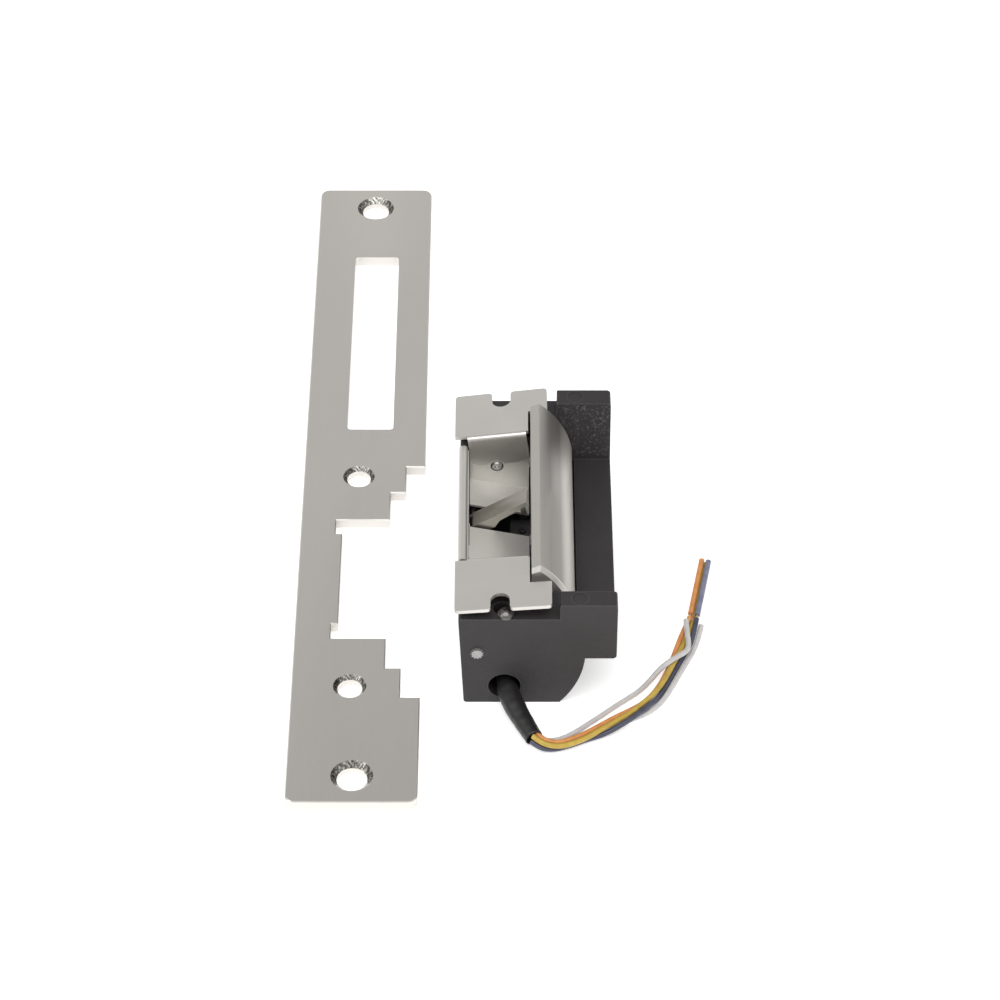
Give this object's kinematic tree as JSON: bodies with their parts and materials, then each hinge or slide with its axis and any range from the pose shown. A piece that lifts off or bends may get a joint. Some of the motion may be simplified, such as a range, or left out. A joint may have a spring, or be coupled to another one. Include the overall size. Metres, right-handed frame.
{
  "type": "electric door strike",
  "caption": "Electric door strike as a kit: moulded housing with a hinged keeper, latch pocket, sensing lever and flying leads, beside its loose stainless faceplate with deadbolt window.",
  "frame": {"origin": "on the housing's flat back, half way along the body, on the line of the faceplate screws", "axes": "+Z is the way the latch pocket opens, +Y runs along the body and the faceplate, +X is the side the door leaves by"},
  "size_m": [0.1096, 0.25, 0.037],
  "materials": {
    "faceplate_steel": "brushed stainless steel, satin",
    "housing_black": "moulded, fine spark-eroded grain",
    "screw_steel": "zinc plated",
    "liner_steel": "bright sheet steel",
    "bracket_steel": "satin sheet steel",
    "keeper_steel": "satin stainless steel",
    "spring_steel": "spring steel wire",
    "lever_steel": "stamped sheet steel",
    "yoke_steel": "yellow zinc",
    "bobbin_plastic": "natural nylon",
    "winding_copper": "enamelled copper wire",
    "board_green": "solder mask",
    "diode_black": "moulded",
    "button_red": "moulded",
    "clamp_black": "moulded",
    "sleeve_black": "soft vinyl, satin",
    "vinyl_orange": "wire insulation",
    "vinyl_yellow": "wire insulation",
    "vinyl_blue": "wire insulation",
    "vinyl_white": "wire insulation",
    "strand_copper": "bare stranded copper"
  },
  "bodies": {
    "housing": {"housing": "housing_black", "back_cover": "housing_black", "cover_screws": "screw_steel", "near_liner": "liner_steel", "far_liner": "liner_steel", "pocket_rail": "bracket_steel", "bracket_screws": "screw_steel", "tab_screw": "screw_steel", "keeper_pins": "screw_steel", "keeper_spring": "spring_steel", "lever_pin": "lever_steel", "solenoid_yoke": "yoke_steel", "coil_bobbin": "bobbin_plastic", "coil_winding": "winding_copper", "pole_piece": "yoke_steel", "bolt_spring": "spring_steel", "circuit_board": "board_green", "suppressor_diode": "diode_black", "switch_body": "diode_black", "switch_terminals": "screw_steel", "cable_clamp": "clamp_black", "cable_sleeve": "sleeve_black", "wire_orange": "vinyl_orange", "wire_yellow": "vinyl_yellow", "wire_blue": "vinyl_blue", "wire_white_a": "vinyl_white", "wire_white_b": "vinyl_white", "copper_strands": "strand_copper", "slug_orange": "vinyl_orange", "slug_yellow": "vinyl_yellow", "slug_blue": "vinyl_blue"},
    "faceplate": {"faceplate": "faceplate_steel"},
    "near_bracket": {"near_bracket": "bracket_steel"},
    "far_bracket": {"far_bracket": "bracket_steel"},
    "keeper": {"keeper_skin": "keeper_steel", "keeper_frame": "keeper_steel", "keeper_rivets": "screw_steel"},
    "latch_lever": {"latch_lever": "lever_steel"},
    "locking_bolt": {"locking_bolt": "lever_steel"},
    "switch_button": {"switch_button": "button_red"}
  },
  "joints": [
    {"name": "faceplate_lift", "type": "slide", "parent": "housing", "child": "faceplate", "axis": [0, 0, 1], "range_m": [0, 0.05]},
    {"name": "near_bracket_rock", "type": "hinge", "parent": "housing", "child": "near_bracket", "pos_m": [-0.0012, -0.024, 0.0218], "axis": [0, 1, 0], "range_deg": [-2, 2]},
    {"name": "far_bracket_rock", "type": "hinge", "parent": "housing", "child": "far_bracket", "pos_m": [-0.0012, 0.0254, 0.0218], "axis": [0, 1, 0], "range_deg": [-2, 2]},
    {"name": "keeper_turn", "type": "hinge", "parent": "housing", "child": "keeper", "pos_m": [-0.0062, 0, 0.0176], "axis": [0, 1, 0], "range_deg": [0, 45], "stiffness_Nm_per_rad": 0.012, "springref_deg": -51.57},
    {"name": "lever_press", "type": "hinge", "parent": "housing", "child": "latch_lever", "pos_m": [-0.0076, 0.0097, 0.0144], "axis": [0, 1, 0], "range_deg": [0, 26], "stiffness_Nm_per_rad": 0.0012, "springref_deg": -28.65},
    {"name": "bolt_slide", "type": "slide", "parent": "housing", "child": "locking_bolt", "axis": [0, 1, 0], "range_m": [0, 0.0026], "stiffness_N_per_m": 150, "springref_m": -0.004, "deforming": ["bolt_spring"]},
    {"name": "button_press", "type": "slide", "parent": "housing", "child": "switch_button", "axis": [0, 0, -1], "range_m": [0, 0.00051]}
  ],
  "couplings": [
    {"joint": "button_press", "follows": "lever_press", "m_per_rad": 0.0011018}
  ]
}
